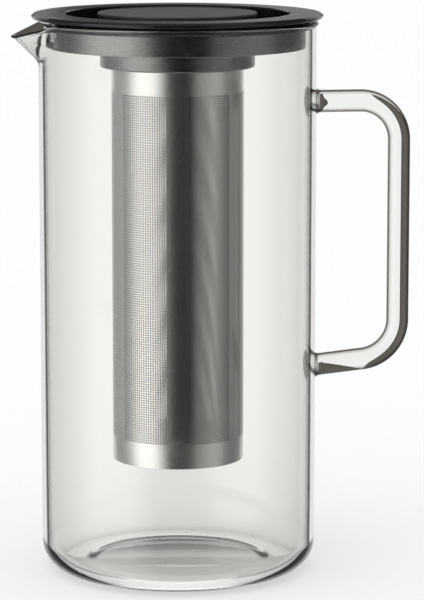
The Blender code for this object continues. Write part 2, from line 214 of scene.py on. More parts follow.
def rounded(corners, steps=ARC_STEPS):
    """The closed outline of (radius, height, fillet) corners, with an arc at each fillet."""
    outline = []
    for index, (radius, height, fillet) in enumerate(corners):
        here = Vector((radius, height))
        if fillet <= 0.0:
            outline.append((radius, height))
            continue
        before = Vector(corners[index - 1][:2]) - here
        after = Vector(corners[(index + 1) % len(corners)][:2]) - here
        half = before.angle(after) / 2.0
        reach = min(fillet / math.tan(half), 0.49 * min(before.length, after.length))
        middle = here + (before.normalized() + after.normalized()).normalized() * (
            reach / math.cos(half)
        )
        start = here + before.normalized() * reach - middle
        sweep = start.angle_signed(here + after.normalized() * reach - middle)
        for step in range(steps + 1):
            turn = -sweep * step / steps
            cosine, sine = math.cos(turn), math.sin(turn)
            outline.append(
                (
                    middle.x + start.x * cosine - start.y * sine,
                    middle.y + start.x * sine + start.y * cosine,
                )
            )
    return outline


def on_circle(angle, radius, height):
    return (radius * math.cos(angle), radius * math.sin(angle), height)


def all_round(steps):
    """Even angles round a full turn."""
    return [2.0 * math.pi * step / steps for step in range(steps)]


def add_piece(name, mesh, material, body, node=None):
    """Links a piece, gives it its material, ties it to its body and hides the imported part it
    replaces.
    """
    piece = bpy.data.objects.new(name, mesh)
    bpy.context.scene.collection.objects.link(piece)
    mesh.materials.append(material)
    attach(piece, body)
    if node:
        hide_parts(node)
    return piece


def plain_mesh(name, verts, faces):
    mesh = bpy.data.meshes.new(name)
    mesh.from_pydata(verts, [], faces)
    return mesh


def mesh_of(name, verts, faces, sharp=SHARP_ANGLE):
    """A smooth mesh with its sharp edges marked, faces pointing out."""
    mesh = plain_mesh(name, verts, faces)
    work = bmesh.new()
    work.from_mesh(mesh)
    bmesh.ops.recalc_face_normals(work, faces=work.faces[:])
    work.to_mesh(mesh)
    work.free()
    mesh.shade_smooth()
    mesh.set_sharp_from_angle(angle=sharp)
    return mesh


def turned(name, outline, angles=None, place=on_circle, sharp=SHARP_ANGLE):
    """A mesh turned round Z. An outline point at radius 0 becomes one vertex."""
    angles = angles or all_round(COLUMNS)
    verts, faces, rings = [], [], []
    for radius, height in outline:
        if radius <= 0.0:
            rings.append([len(verts)] * len(angles))
            verts.append((0.0, 0.0, height))
        else:
            rings.append(list(range(len(verts), len(verts) + len(angles))))
            verts += [place(a, radius, height) for a in angles]
    for ring, following in zip(rings, rings[1:] + rings[:1]):
        if ring[0] == ring[1] and following[0] == following[1]:
            continue
        for column in range(len(angles)):
            beside = (column + 1) % len(angles)
            corners = (ring[column], ring[beside], following[beside], following[column])
            faces.append(tuple(dict.fromkeys(corners)))
    return mesh_of(name, verts, faces, sharp)


# Node materials


def bare_material(name):
    """A material whose node tree is empty."""
    material = bpy.data.materials.new(name)
    material.use_nodes = True
    material.node_tree.nodes.clear()
    return material, material.node_tree


def new_material(name):
    """A material with its node tree and its shader."""
    material = bpy.data.materials.new(name)
    material.use_nodes = True
    tree = material.node_tree
    return material, tree, tree.nodes["Principled BSDF"]


def put(tree, kind, **settings):
    """Adds a node; settings name its properties, or its inputs where the name has a capital."""
    node = tree.nodes.new(kind)
    for key, value in settings.items():
        name = key.replace("_", " ")
        if key[0].isupper():
            node.inputs[name].default_value = value
        else:
            setattr(node, key, value)
    return node


def object_point(tree, scale=(1.0, 1.0, 1.0)):
    """Object coordinates stretched by a scale."""
    coordinates = put(tree, "ShaderNodeTexCoord")
    mapping = put(tree, "ShaderNodeMapping")
    mapping.inputs["Scale"].default_value = scale
    tree.links.new(coordinates.outputs["Object"], mapping.inputs["Vector"])
    return mapping.outputs["Vector"]


def noise(tree, vector, scale, detail=3.0, roughness=0.5):
    node = put(tree, "ShaderNodeTexNoise", Scale=scale, Detail=detail, Roughness=roughness)
    tree.links.new(vector, node.inputs["Vector"])
    return node.outputs["Fac"]


def span(tree, value, low, high, to_low, to_high):
    """Maps a value's range onto another."""
    node = put(
        tree, "ShaderNodeMapRange", From_Min=low, From_Max=high, To_Min=to_low, To_Max=to_high
    )
    tree.links.new(value, node.inputs["Value"])
    return node.outputs["Result"]


def grey_tone(level):
    return (level, level, level, 1.0)


def two_colours(tree, share, first, second):
    """Mixes two colours by a share."""
    node = put(tree, "ShaderNodeMix", data_type="RGBA")
    tree.links.new(share, node.inputs["Factor"])
    for socket in node.inputs:
        if socket.type == "RGBA":
            colour = first if socket.identifier.startswith("A") else second
            socket.default_value = (*colour, 1.0)
    return next(socket for socket in node.outputs if socket.type == "RGBA")


def bump(tree, height, strength, distance, shader):
    node = put(tree, "ShaderNodeBump", Strength=strength, Distance=distance)
    tree.links.new(height, node.inputs["Height"])
    tree.links.new(node.outputs["Normal"], shader.inputs["Normal"])


def clear_glass(name, clear, edge, first, last, painted_wall_line=None):
    """Clear glass whose colour darkens to a painted edge shade between two slants of view.

    A wall line is the slant at which the outer skin gets a painted dark line that stands in for the
    outline of the inner one.
    """
    material, tree, shader = new_material(name)
    shader.inputs["IOR"].default_value = GLASS_IOR
    shader.inputs["Transmission Weight"].default_value = 1.0
    slant = put(tree, "ShaderNodeLayerWeight", Blend=0.5).outputs["Facing"]
    share = span(tree, slant, first, last, 0.0, 1.0)
    if painted_wall_line:
        ramp = put(tree, "ShaderNodeValToRGB")
        stops = ramp.color_ramp.elements
        for offset, level in PAINTED_WALL_LINE_STOPS:
            stops.new(painted_wall_line + offset).color = grey_tone(level)
        stops[0].color = grey_tone(0.0)
        stops[-1].color = grey_tone(PAINTED_EDGE_SHADE_LEVEL)
        tree.links.new(slant, ramp.inputs["Fac"])
        skin = put(tree, "ShaderNodeAttribute", attribute_name="outer_skin")
        pick = put(tree, "ShaderNodeMix", data_type="FLOAT")
        tree.links.new(skin.outputs["Fac"], pick.inputs[0])
        tree.links.new(share, pick.inputs[2])
        tree.links.new(ramp.outputs["Color"], pick.inputs[3])
        share = pick.outputs[0]
    # The base colour paints shade: darker at glancing slants, and a dark line where the inner
    # wall's outline would show through.
    tree.links.new(two_colours(tree, share, clear, edge), shader.inputs["Base Color"])
    waves = noise(tree, object_point(tree, (1.0, 1.0, 0.25)), 26.0, 1.0)
    tree.links.new(span(tree, waves, 0.3, 0.7, 0.0, GLASS_ROUGHNESS), shader.inputs["Roughness"])
    return material


def plastic(name, colour, roughness, ior, grain):
    """Moulded plastic with a fine grain and slight unevenness of gloss."""
    material, tree, shader = new_material(name)
    point = object_point(tree)
    cloud = noise(tree, point, 90.0, 4.0)
    dark = tuple(0.75 * value for value in colour)
    tree.links.new(two_colours(tree, cloud, dark, colour), shader.inputs["Base Color"])
    tree.links.new(
        span(tree, cloud, 0.3, 0.7, roughness * 0.92, roughness * 1.08),
        shader.inputs["Roughness"],
    )
    shader.inputs["IOR"].default_value = ior
    if grain:
        bump(tree, noise(tree, point, 4200.0, 2.0), grain, 0.00003, shader)
    return material


def silicone(name):
    material, tree, shader = new_material(name)
    point = object_point(tree)
    share = noise(tree, point, 300.0, 3.0)
    colours = two_colours(tree, share, (0.016, 0.016, 0.016), (0.028, 0.028, 0.027))
    tree.links.new(colours, shader.inputs["Base Color"])
    tree.links.new(span(tree, share, 0.3, 0.7, 0.50, 0.62), shader.inputs["Roughness"])
    bump(tree, noise(tree, point, 3000.0, 2.0), 0.15, 0.00003, shader)
    return material


def round_tangent(tree, shader):
    """Turns the brushed direction round the jug's axis."""
    turn = put(tree, "ShaderNodeVectorRotate", rotation_type="Z_AXIS", Angle=math.pi / 2.0)
    tree.links.new(object_point(tree, (1.0, 1.0, 0.0)), turn.inputs["Vector"])
    along = put(tree, "ShaderNodeVectorMath", operation="NORMALIZE")
    tree.links.new(turn.outputs["Vector"], along.inputs[0])
    tree.links.new(along.outputs["Vector"], shader.inputs["Tangent"])


def brushed_metal(name, colour, roughness, stretch):
    """Metal brushed round its axis, so that reflections stretch upwards."""
    material, tree, shader = new_material(name)
    shader.inputs["Metallic"].default_value = 1.0
    shader.inputs["Anisotropic"].default_value = stretch
    round_tangent(tree, shader)
    strokes = noise(tree, object_point(tree, (0.02, 0.02, 1.0)), BRUSH_LINES, 4.0, 0.65)
    patches = noise(tree, object_point(tree, (1.0, 1.0, 0.35)), 60.0, 3.0)
    dark = tuple(0.92 * value for value in colour)
    tree.links.new(two_colours(tree, patches, dark, colour), shader.inputs["Base Color"])
    tree.links.new(
        span(tree, strokes, 0.3, 0.7, roughness * 0.85, roughness * 1.15),
        shader.inputs["Roughness"],
    )
    bump(tree, strokes, 0.10, 0.00002, shader)
    return material


# Glass


def spout_ramp(climb):
    """The spout's reach at a height above its foot: a soft start, then a straight line."""
    if climb < SPOUT_EASE:
        return climb * climb / (2.0 * SPOUT_EASE)
    return climb - SPOUT_EASE / 2.0


def round_off(aside):
    """An angle beside the tip, counted so that the tip comes out round."""
    return math.hypot(aside, SPOUT_TIP_ROUND) - SPOUT_TIP_ROUND


def spout_point(angle, radius, height):
    """Draws the wall out to a V near the rim, with soft creases beside it and a dipped tip."""
    foot = RIM - SPOUT_DEPTH
    aside = abs(angle % (2.0 * math.pi) - math.pi)
    share = (height - foot) / SPOUT_DEPTH
    if share <= 0.0 or aside > SPOUT_ZONE:
        return on_circle(angle, radius, height)
    widening = min(1.0, SPOUT_WIDENING * share)
    half = SPOUT_KEEL_ANGLE + (SPOUT_HALF_ANGLE - SPOUT_KEEL_ANGLE) * widening
    turn = half * round_off(aside) / round_off(half)
    keel_dip = SPOUT_DIP * share
    climb = height - keel_dip - foot
    tip = radius + SPOUT_REACH * spout_ramp(climb) / spout_ramp(SPOUT_DEPTH - SPOUT_DIP)
    if turn < half:
        side = radius * tip * math.sin(half)
        side /= tip * math.sin(turn) + radius * math.sin(half - turn)
    else:
        slope = radius * abs(tip * math.cos(half) - radius) / (tip * math.sin(half))
        side = radius - slope * (turn - half)
    crease = min(SPOUT_CREASE, (tip - radius) / 2.0) + LEAST_CREASE
    drawn = soft_max(side, radius, crease)
    from_tip = side * math.sin(min(turn, half)) / (radius * math.sin(half))
    from_tip += max(turn - half, 0.0) / half
    dip = keel_dip * soft_max(1.0 - from_tip, 0.0, SPOUT_DIP_EASE)
    return on_circle(angle, drawn, height - dip)


def body_angles():
    """Columns round the body, closer together across the spout at 180 degrees."""
    rest = 2.0 * math.pi - 2.0 * SPOUT_ZONE
    fine = round(2.0 * SPOUT_ZONE / SPOUT_COLUMN)
    wide = round(rest / BODY_COLUMN)
    angles = [math.pi - SPOUT_ZONE + 2.0 * SPOUT_ZONE * step / fine for step in range(fine)]
    return angles + [math.pi + SPOUT_ZONE + rest * step / wide for step in range(wide)]


def glass_outline():
    """Section of the beaker from the middle of its foot, over the rim, to its floor."""
    steps = 3 * ARC_STEPS
    flat = PUNT_RADIUS - PUNT_EASE
    outline = [(0.0, PUNT_RISE), (flat, PUNT_RISE)]
    outline += [
        (flat + PUNT_EASE * share, PUNT_RISE * (1.0 - smooth_step(share)))
        for share in (step / PUNT_STEPS for step in range(1, PUNT_STEPS + 1))
    ]
    centre = (BODY_RADIUS - FOOT_FILLET, FOOT_FILLET)
    outline += arc(centre, FOOT_FILLET, -math.pi / 2.0, 0.0, steps)
    foot = RIM - SPOUT_DEPTH
    bead_foot = RIM - BEAD_HEIGHT
    flare = BEAD_HEIGHT - BEAD_ROUND
    plain_rows = [
        FOOT_FILLET + (foot - FOOT_FILLET) * step / PLAIN_ROWS for step in range(1, PLAIN_ROWS)
    ]
    rows = [foot + (bead_foot - foot) * step / SPOUT_ROWS for step in range(SPOUT_ROWS + 1)]
    bead_rows = [bead_foot + flare * step / BEAD_ROWS for step in range(1, BEAD_ROWS)]
    outline += [(BODY_RADIUS, height) for height in plain_rows + rows]
    outline += [
        (BODY_RADIUS + BEAD_FLARE * smooth_step((height - bead_foot) / flare), height)
        for height in bead_rows
    ]
    half = (GLASS_WALL + BEAD_FLARE) / 2.0
    centre = (GLASS_INNER + half, RIM - BEAD_ROUND)
    outline += arc(centre, (half, BEAD_ROUND), 0.0, math.pi, 2 * ARC_STEPS)
    inner_rows = plain_rows + rows + bead_rows[:-1]
    outline += [(GLASS_INNER, height) for height in reversed(inner_rows)]
    inner_fillet = FOOT_FILLET - GLASS_WALL
    centre = (GLASS_INNER - inner_fillet, BASE_THICKNESS + inner_fillet)
    outline += arc(centre, inner_fillet, 0.0, -math.pi / 2.0, steps)
    return outline + [(0.0, BASE_THICKNESS)]


def make_glass_body(material):
    """The beaker, with the skin outside its rim marked for the glass material."""
    outline, angles = glass_outline(), body_angles()
    mesh = turned("glass_body_clear", outline, angles, spout_point, BODY_SHARP)
    walls = outline[1:-1]
    rim = walls.index(max(walls, key=lambda point: point[1]))
    outside = 1 + rim * len(angles)
    skin = mesh.attributes.new("outer_skin", "FLOAT", "POINT")
    shares = [1.0] * outside + [0.0] * (len(mesh.vertices) - outside)
    skin.data.foreach_set("value", shares)
    add_piece("glass_body_clear", mesh, material, "jug", "glass_body")


def handle_route():
    """Centre line of the handle in the XZ plane, from the upper weld to the lower one."""
    wall = BODY_RADIUS
    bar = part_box("glass_handle")[1].x - ROD_RADIUS
    top = RIM - HANDLE_TOP_DROP
    low = HANDLE_BOTTOM_HEIGHT
    steps = round(math.pi / 2.0 / HANDLE_STEP)
    centre_x = bar - HANDLE_BEND
    slope = math.tan(HANDLE_RISE)
    centre_z = low + (centre_x - wall) * slope + HANDLE_BEND / math.cos(HANDLE_RISE)
    upper = arc((centre_x, top - HANDLE_BEND), HANDLE_BEND, math.pi / 2.0, 0.0, steps)
    lower = arc((centre_x, centre_z), HANDLE_BEND, 0.0, HANDLE_RISE - math.pi / 2.0, steps)
    along = [WELD_LENGTH * step / WELD_STEPS for step in range(WELD_STEPS + 1)]
    route = [(wall + x, top) for x in along]
    route += upper + lower
    route += [(wall + x, low + x * slope) for x in reversed(along)]
    return route


def make_glass_handle(material):
    """A bent rod whose ends flare into welds that follow the round wall."""
    route = [Vector(point) for point in handle_route()]
    wall = BODY_RADIUS + WELD_GAP
    verts, faces = [], []
    for index, centre in enumerate(route):
        before = route[max(index - 1, 0)]
        after = route[min(index + 1, len(route) - 1)]
        along = (after - before).normalized()
        away = (centre.x - BODY_RADIUS) / WELD_LENGTH
        radius = ROD_RADIUS + WELD_FLARE * max(1.0 - away, 0.0) ** 3.0
        for side in range(ROD_SIDES):
            angle = 2.0 * math.pi * side / ROD_SIDES
            out, y = radius * math.cos(angle), radius * math.sin(angle)
            x, z = centre.x - along.y * out, centre.y + along.x * out
            seat = math.sqrt(wall * wall - y * y)
            if away < 1.0:
                # Rings near the wall bend with it.
                x = seat + (centre.x - BODY_RADIUS) * (1.0 + (wall - seat) / WELD_LENGTH)
            verts.append((x, y, z))
    rings = len(route)
    for ring in range(rings - 1):
        for side in range(ROD_SIDES):
            beside = (side + 1) % ROD_SIDES
            one, other = ring * ROD_SIDES, (ring + 1) * ROD_SIDES
            faces.append((one + side, one + beside, other + beside, other + side))
    for ring in (0, rings - 1):
        inner = [ring * ROD_SIDES + side for side in range(ROD_SIDES)]
        edge = [verts[i] for i in inner]
        middle = sum((Vector(point) for point in edge), Vector()) / ROD_SIDES
        for share in WELD_FACE_RINGS:
            grown = list(range(len(verts), len(verts) + ROD_SIDES))
            for _, edge_y, edge_z in edge:
                y = middle.y + (edge_y - middle.y) * share
                z = middle.z + (edge_z - middle.z) * share
                verts.append((math.sqrt(wall * wall - y * y), y, z))
            for side in range(ROD_SIDES):
                beside = (side + 1) % ROD_SIDES
                faces.append((inner[side], inner[beside], grown[beside], grown[side]))
            inner = grown
        faces.append(tuple(inner))
    mesh = mesh_of("glass_handle_clear", verts, faces, HANDLE_SHARP)
    add_piece("glass_handle_clear", mesh, material, "jug", "glass_handle")


# Perforated sheet


def lattice(name, columns, rows, radius, first_angle, low, pitch_up, pitch_round):
    """A curved sheet, open at its edges, with a square hole in each cell.

    Its inside and the walls of the holes take the second material, a rougher steel whose dark
    colour paints shade on them.
    """
    verts, faces, layers = [], [], []
    for r in (radius, radius - SHEET):
        corner_base = len(verts)
        for row in range(rows + 1):
            for column in range(columns + 1):
                verts.append(on_circle(first_angle + column * pitch_round, r, low + row * pitch_up))
        hole_base = len(verts)
        for row in range(rows):
            for column in range(columns):
                for across, up in ((-0.5, -0.5), (0.5, -0.5), (0.5, 0.5), (-0.5, 0.5)):
                    a = first_angle + (column + 0.5) * pitch_round + across * HOLE_SIZE / radius
                    z = low + (row + 0.5) * pitch_up + up * HOLE_SIZE
                    verts.append(on_circle(a, r, z))
        layers.append((corner_base, hole_base))
    (outer, outer_hole), (inner, inner_hole) = layers
    wide = columns + 1
    slots = []
    for row in range(rows):
        for column in range(columns):
            cell = row * wide + column
            corners = (cell, cell + 1, cell + wide + 1, cell + wide)
            first = (row * columns + column) * 4
            for k in range(4):
                n = (k + 1) % 4
                front, front_next = outer_hole + first + k, outer_hole + first + n
                back, back_next = inner_hole + first + k, inner_hole + first + n
                faces.append((outer + corners[k], outer + corners[n], front_next, front))
                faces.append((inner + corners[n], inner + corners[k], back, back_next))
                faces.append((front, front_next, back_next, back))
                slots += [0, 1, 1]
    mesh = plain_mesh(name, verts, faces)
    mesh.polygons.foreach_set("material_index", slots)
    mesh.shade_smooth()
    mesh.set_sharp_from_angle(angle=SHEET_SHARP)
    return mesh


def make_infuser(steel, inside):
    """Perforated panels between plain strips, a rolled flange and a plain foot band."""
    low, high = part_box("infuser_tube")
    flange = high.x
    radius = flange - FLANGE_REACH
    inner = radius - SHEET
    top_of_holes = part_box("infuser_collar")[0].z - PLAIN_BAND
    base_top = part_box("infuser_base")[1].z
    rows = int((top_of_holes - base_top) / HOLE_PITCH)
    low_of_holes = top_of_holes - rows * HOLE_PITCH
    top_band = [
        (radius, top_of_holes, 0.0),
        (inner, top_of_holes, 0.0),
        (inner, high.z, 0.0),
        (flange, high.z, 0.0001),
        (flange, high.z - SHEET, 0.0001),
        (radius, high.z - SHEET, 0.0002),
    ]
    foot_band = [
        (radius, low.z, 0.0001),
        (inner, low.z, 0.0001),
        (inner, low_of_holes, 0.0),
        (radius, low_of_holes, 0.0),
    ]
    band = turned("infuser_top_band", rounded(top_band, BAND_ARC_STEPS))
    add_piece("infuser_top_band", band, steel, "infuser", "infuser_tube")
    band = turned("infuser_foot_band", rounded(foot_band, BAND_ARC_STEPS))
    add_piece("infuser_foot_band", band, steel, "infuser", None)
    period = 2.0 * math.pi / PANELS
    across = (period - PANEL_STRIP) / PANEL_COLUMNS
    section = (
        (radius, low_of_holes), (radius, top_of_holes),
        (inner, top_of_holes), (inner, low_of_holes),
    )
    for index in range(PANELS):
        middle = PANEL_PHASE + period * index
        verts, faces = [], []
        for step in range(STRIP_STEPS + 1):
            a = middle - PANEL_STRIP / 2.0 + PANEL_STRIP * step / STRIP_STEPS
            verts += [on_circle(a, r, z) for r, z in section]
        for step in range(STRIP_STEPS):
            one, other = 4 * step, 4 * step + 4
            for corner in range(4):
                beside = (corner + 1) % 4
                faces.append((one + corner, one + beside, other + beside, other + corner))
        name = f"infuser_strip_{index + 1}"
        add_piece(name, mesh_of(name, verts, faces), steel, "infuser", None)
        name = f"infuser_panel_{index + 1}"
        first = middle + PANEL_STRIP / 2.0
        panel = lattice(name, PANEL_COLUMNS, rows, radius, first, low_of_holes, HOLE_PITCH, across)
        add_piece(name, panel, steel, "infuser", None)
        panel.materials.append(inside)


def make_infuser_base(steel):
    """The pressed cup that closes the tube, with its middle raised inside a ring."""
    low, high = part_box("infuser_base")
    outer = high.x
    inner = outer - SHEET
    raised = low.z + CUP_RISE
    outline = rounded(
        [
            (0.0, raised, 0.0),
            (outer - CUP_MIDDLE, raised, 0.0006),
            (outer - CUP_RING, low.z, 0.0006),
            (outer, low.z, 0.0015),
            (outer, high.z, 0.0),
            (inner, high.z, 0.0),
            (inner, low.z + SHEET, 0.0012),
            (outer - CUP_RING, low.z + SHEET, 0.0006),
            (outer - CUP_MIDDLE, raised + SHEET, 0.0006),
            (0.0, raised + SHEET, 0.0),
        ]
    )
    cup = turned("infuser_foot_cup", outline)
    add_piece("infuser_foot_cup", cup, steel, "infuser", "infuser_base")


# Lid, collar and cap


def ring_piece(name, corners, material, body, node):
    """A turned piece from (radius, height from the rim, fillet) corners."""
    outline = rounded([(r, RIM + z, f) for r, z, f in corners])
    return add_piece(name, turned(name, outline), material, body, node)


def make_lid_top(material):
    """The lip, the barrel, the finger well and the hub as one turned moulding."""
    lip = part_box("lid_top")[1].x
    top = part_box("lid_top")[1].z - RIM
    corners = [
        (lip, top - 0.0008, 0.0),
        (lip - 0.0003, top - 0.0018, 0.0006),
        (BODY_RADIUS, LIP_UNDER, 0.0003),
        (BARREL_RADIUS, LIP_UNDER, 0.0),
        (BARREL_RADIUS, BARREL_UNDER, 0.0009),
        (HUB_OUTER, BARREL_UNDER, 0.0),
        (HUB_OUTER, HUB_LOW, 0.0002),
        (HUB_INNER, HUB_LOW, 0.0002),
        (HUB_INNER, HUB_TOP, 0.0002),
        (HUB_OUTER, HUB_TOP, 0.0002),
        (HUB_OUTER, WELL_FLOOR, 0.0006),
        (WELL_RADIUS, WELL_FLOOR, 0.0012),
        (WELL_RADIUS, top - 0.0003, 0.0002),
        (WELL_EDGE, top, 0.0004),
        (lip - 0.0010, top, 0.0009),
    ]
    ring_piece("lid_top_gloss", corners, material, "lid", "lid_top")


def make_lid_gasket(material):
    """A band with two ribs and a shallow groove between them."""
    outer = GLASS_INNER - GASKET_GAP
    groove = outer - GASKET_GROOVE
    corners = [
        (outer, 0.0, 0.0003),
        (outer, -0.0006, 0.0002),
        (groove, -0.0007, 0.0001),
        (groove, -0.0010, 0.0001),
        (outer, -0.0011, 0.0002),
        (outer - 0.0001, GASKET_LOW, 0.0003),
        (GASKET_INNER, GASKET_LOW, 0.0),
        (GASKET_INNER, 0.0, 0.0),
    ]
    ring_piece("lid_gasket_ribbed", corners, material, "lid_seal", "lid_gasket")


def window_cutter():
    """A wedge through the skirt on the spout's side, wider at its top."""
    low, high = RIM + WINDOW_LOW, RIM + WINDOW_TOP
    top = SKIRT_OUTER * math.sin(WINDOW_TOP_ANGLE)
    bottom = SKIRT_OUTER * math.sin(WINDOW_LOW_ANGLE)
    verts = []
    for x in (WINDOW_NEAR, WINDOW_FAR):
        verts += [(x, -bottom, low), (x, bottom, low), (x, top, high), (x, -top, high)]
    faces = [(0, 1, 2, 3), (7, 6, 5, 4)]
    faces += [(k, (k + 1) % 4, 4 + (k + 1) % 4, 4 + k) for k in range(4)]
    cutter = bpy.data.objects.new("window_cutter", mesh_of("window_cutter", verts, faces))
    bpy.context.scene.collection.objects.link(cutter)
    return cutter


def make_lid_skirt(material):
    """The ring in the jug's mouth, cut through by the pour window."""
    corners = [
        (SKIRT_OUTER, SKIRT_SHOULDER, 0.0002),
        (SKIRT_OUTER, SKIRT_LOW, 0.0004),
        (SKIRT_INNER, SKIRT_LOW, 0.0003),
        (SKIRT_INNER, SLEEVE_LOW, 0.0003),
        (SLEEVE_INNER, SLEEVE_LOW, 0.0),
        (SLEEVE_INNER, 0.0, 0.0),
        (SKIRT_NECK, 0.0, 0.0),
        (SKIRT_NECK, SKIRT_SHOULDER, 0.0),
    ]
    skirt = ring_piece("lid_skirt_satin", corners, material, "lid", "lid_skirt")
    cutter = window_cutter()
    window = skirt.modifiers.new("pour_window", "BOOLEAN")
    window.operation = "DIFFERENCE"
    window.solver = "EXACT"
    window.object = cutter
    with bpy.context.temp_override(object=skirt, active_object=skirt):
        bpy.context.view_layer.objects.active = skirt
        bpy.ops.object.modifier_apply(modifier=window.name)
    bpy.data.objects.remove(cutter, do_unlink=True)


def make_strainer(steel, inside):
    """The perforated plate behind the pour window."""
    low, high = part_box("pour_strainer")
    radius = -low.x
    half = math.asin(high.y / radius)
    columns = int(2.0 * half * radius / HOLE_PITCH)
    rows = int((high.z - low.z) / HOLE_PITCH)
    mesh = lattice(
        "pour_strainer_mesh", columns, rows, radius, math.pi - half, low.z,
        (high.z - low.z) / rows, 2.0 * half / columns,
    )
    add_piece("pour_strainer_mesh", mesh, steel, "lid", "pour_strainer")
    mesh.materials.append(inside)


def make_infuser_collar(material):
    """The ring that hangs in the lid's hub and holds the tube."""
    corners = [
        (COLLAR_FLANGE, COLLAR_TOP, 0.0003),
        (COLLAR_FLANGE, COLLAR_FLANGE_LOW, 0.0002),
        (COLLAR_OUTER, COLLAR_FLANGE_LOW, 0.0002),
        (COLLAR_OUTER, COLLAR_LOW, 0.0009),
        (COLLAR_INNER, COLLAR_LOW, 0.0003),
        (COLLAR_INNER, COLLAR_SEAT_LOW, 0.0),
        (COLLAR_SEAT, COLLAR_SEAT_LOW, 0.0002),
        (COLLAR_SEAT, COLLAR_TOP, 0.0003),
    ]
    ring_piece("infuser_collar_satin", corners, material, "infuser", "infuser_collar")


def make_cap(body_material, plate_material, seal_material):
    """The plate, the plug under it and the ring in the plug's groove."""
    plate_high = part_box("cap_plate")[1]
    radius = plate_high.x
    top = plate_high.z - RIM
    corners = [
        (0.0, top - 0.0003, 0.0),
        (radius - 0.0016, top - 0.0003, 0.0010),
        (radius - 0.0010, top, 0.0004),
        (radius, top - 0.0001, 0.0005),
        (radius, top - PLATE_THICKNESS, 0.0001),
        (0.0, top - PLATE_THICKNESS, 0.0),
    ]
    ring_piece("cap_plate_satin", corners, plate_material, "cap", "cap_plate")
    edge = radius - CAP_INSET
    corners = [
        (0.0, CAP_TOP, 0.0),
        (edge, CAP_TOP, 0.0001),
        (edge, CAP_UNDER, 0.0003),
        (PLUG_OUTER, CAP_UNDER, 0.0),
        (PLUG_OUTER, PLUG_GROOVE_TOP, 0.0001),
        (PLUG_GROOVE, PLUG_GROOVE_TOP, 0.0),
        (PLUG_GROOVE, PLUG_GROOVE_LOW, 0.0),
        (PLUG_OUTER, PLUG_GROOVE_LOW, 0.0001),
        (PLUG_OUTER, PLUG_LOW, 0.0004),
        (PLUG_INNER, PLUG_LOW, 0.0004),
        (PLUG_INNER, CAP_CEILING, 0.0006),
        (0.0, CAP_CEILING, 0.0),
    ]
    ring_piece("cap_body_satin", corners, body_material, "cap", "cap_body")
    corners = [
        (SEAL_OUTER, SEAL_TOP, 0.0005),
        (SEAL_OUTER, SEAL_LOW, 0.0005),
        (SEAL_INNER, SEAL_LOW, 0.0),
        (SEAL_INNER, SEAL_TOP, 0.0),
    ]
    ring_piece("cap_seal_ring", corners, seal_material, "cap", "cap_seal")


# Studio

VIEW_AZIMUTH = math.radians(-8.0)
CAMERA_DISTANCE = 1.213
CAMERA_HEIGHT = 0.313
AIM_HEIGHT = 0.1085
AIM_ASIDE = 0.01365
FOCAL_PIXELS = 3070.0
LONG_SIDE = 600.0
SENSOR = 36.0

FLOOR_SIZE = 12.0
FLOOR_DROP = 0.0002
FLOOR_SHINE = 0.5
WALL_RADIUS = 1.0
WALL_HEIGHTS = (-2.0, 0.25, 0.40, 0.75, 1.8)
WALL_STRENGTH = 2.0
WALL_STEPS = 96
CEILING_STEPS = 48
CARD_STEPS = 24
# A ray meets the card's dark side while its refractions plus three times its reflections stay
# under this limit.
CARD_REFLECTION_WEIGHT = 3.0
CARD_LIMIT = 2.5


def make_camera():
    data = bpy.data.cameras.new("camera")
    data.sensor_width = SENSOR
    data.lens = SENSOR * FOCAL_PIXELS / LONG_SIDE
    data.dof.use_dof = False
    data.clip_start, data.clip_end = 0.01, 100.0
    camera = bpy.data.objects.new("camera", data)
    bpy.context.scene.collection.objects.link(camera)
    right = Vector((math.cos(VIEW_AZIMUTH), math.sin(VIEW_AZIMUTH), 0.0))
    back = Vector((math.sin(VIEW_AZIMUTH), -math.cos(VIEW_AZIMUTH), 0.0))
    camera.location = back * CAMERA_DISTANCE + Vector((0.0, 0.0, CAMERA_HEIGHT))
    aim = right * AIM_ASIDE + Vector((0.0, 0.0, AIM_HEIGHT))
    camera.rotation_mode = "QUATERNION"
    camera.rotation_quaternion = (aim - camera.location).to_track_quat("-Z", "Y")
    bpy.context.scene.camera = camera


def show_by_ray(tree, direct, reflected):
    """Shows one shader to rays that no surface has reflected, and the other to the rest."""
    path = put(tree, "ShaderNodeLightPath")
    is_reflected = put(tree, "ShaderNodeMath", operation="GREATER_THAN")
    is_reflected.inputs[1].default_value = 0.5
    tree.links.new(path.outputs["Glossy Depth"], is_reflected.inputs[0])
    choice = put(tree, "ShaderNodeMixShader")
    tree.links.new(is_reflected.outputs[0], choice.inputs["Fac"])
    tree.links.new(direct, choice.inputs[1])
    tree.links.new(reflected, choice.inputs[2])
    output = next((n for n in tree.nodes if n.type == "OUTPUT_MATERIAL"), None)
    output = output or put(tree, "ShaderNodeOutputMaterial")
    tree.links.new(choice.outputs["Shader"], output.inputs["Surface"])


def background_rays(tree):
    """1 for the rays that show the background straight, in metal or through glass."""
    path = put(tree, "ShaderNodeLightPath")
    seen = path.outputs["Is Camera Ray"]
    for ray in ("Is Glossy Ray", "Is Transmission Ray"):
        more = put(tree, "ShaderNodeMath", operation="MAXIMUM")
        tree.links.new(seen, more.inputs[0])
        tree.links.new(path.outputs[ray], more.inputs[1])
        seen = more.outputs[0]
    return seen


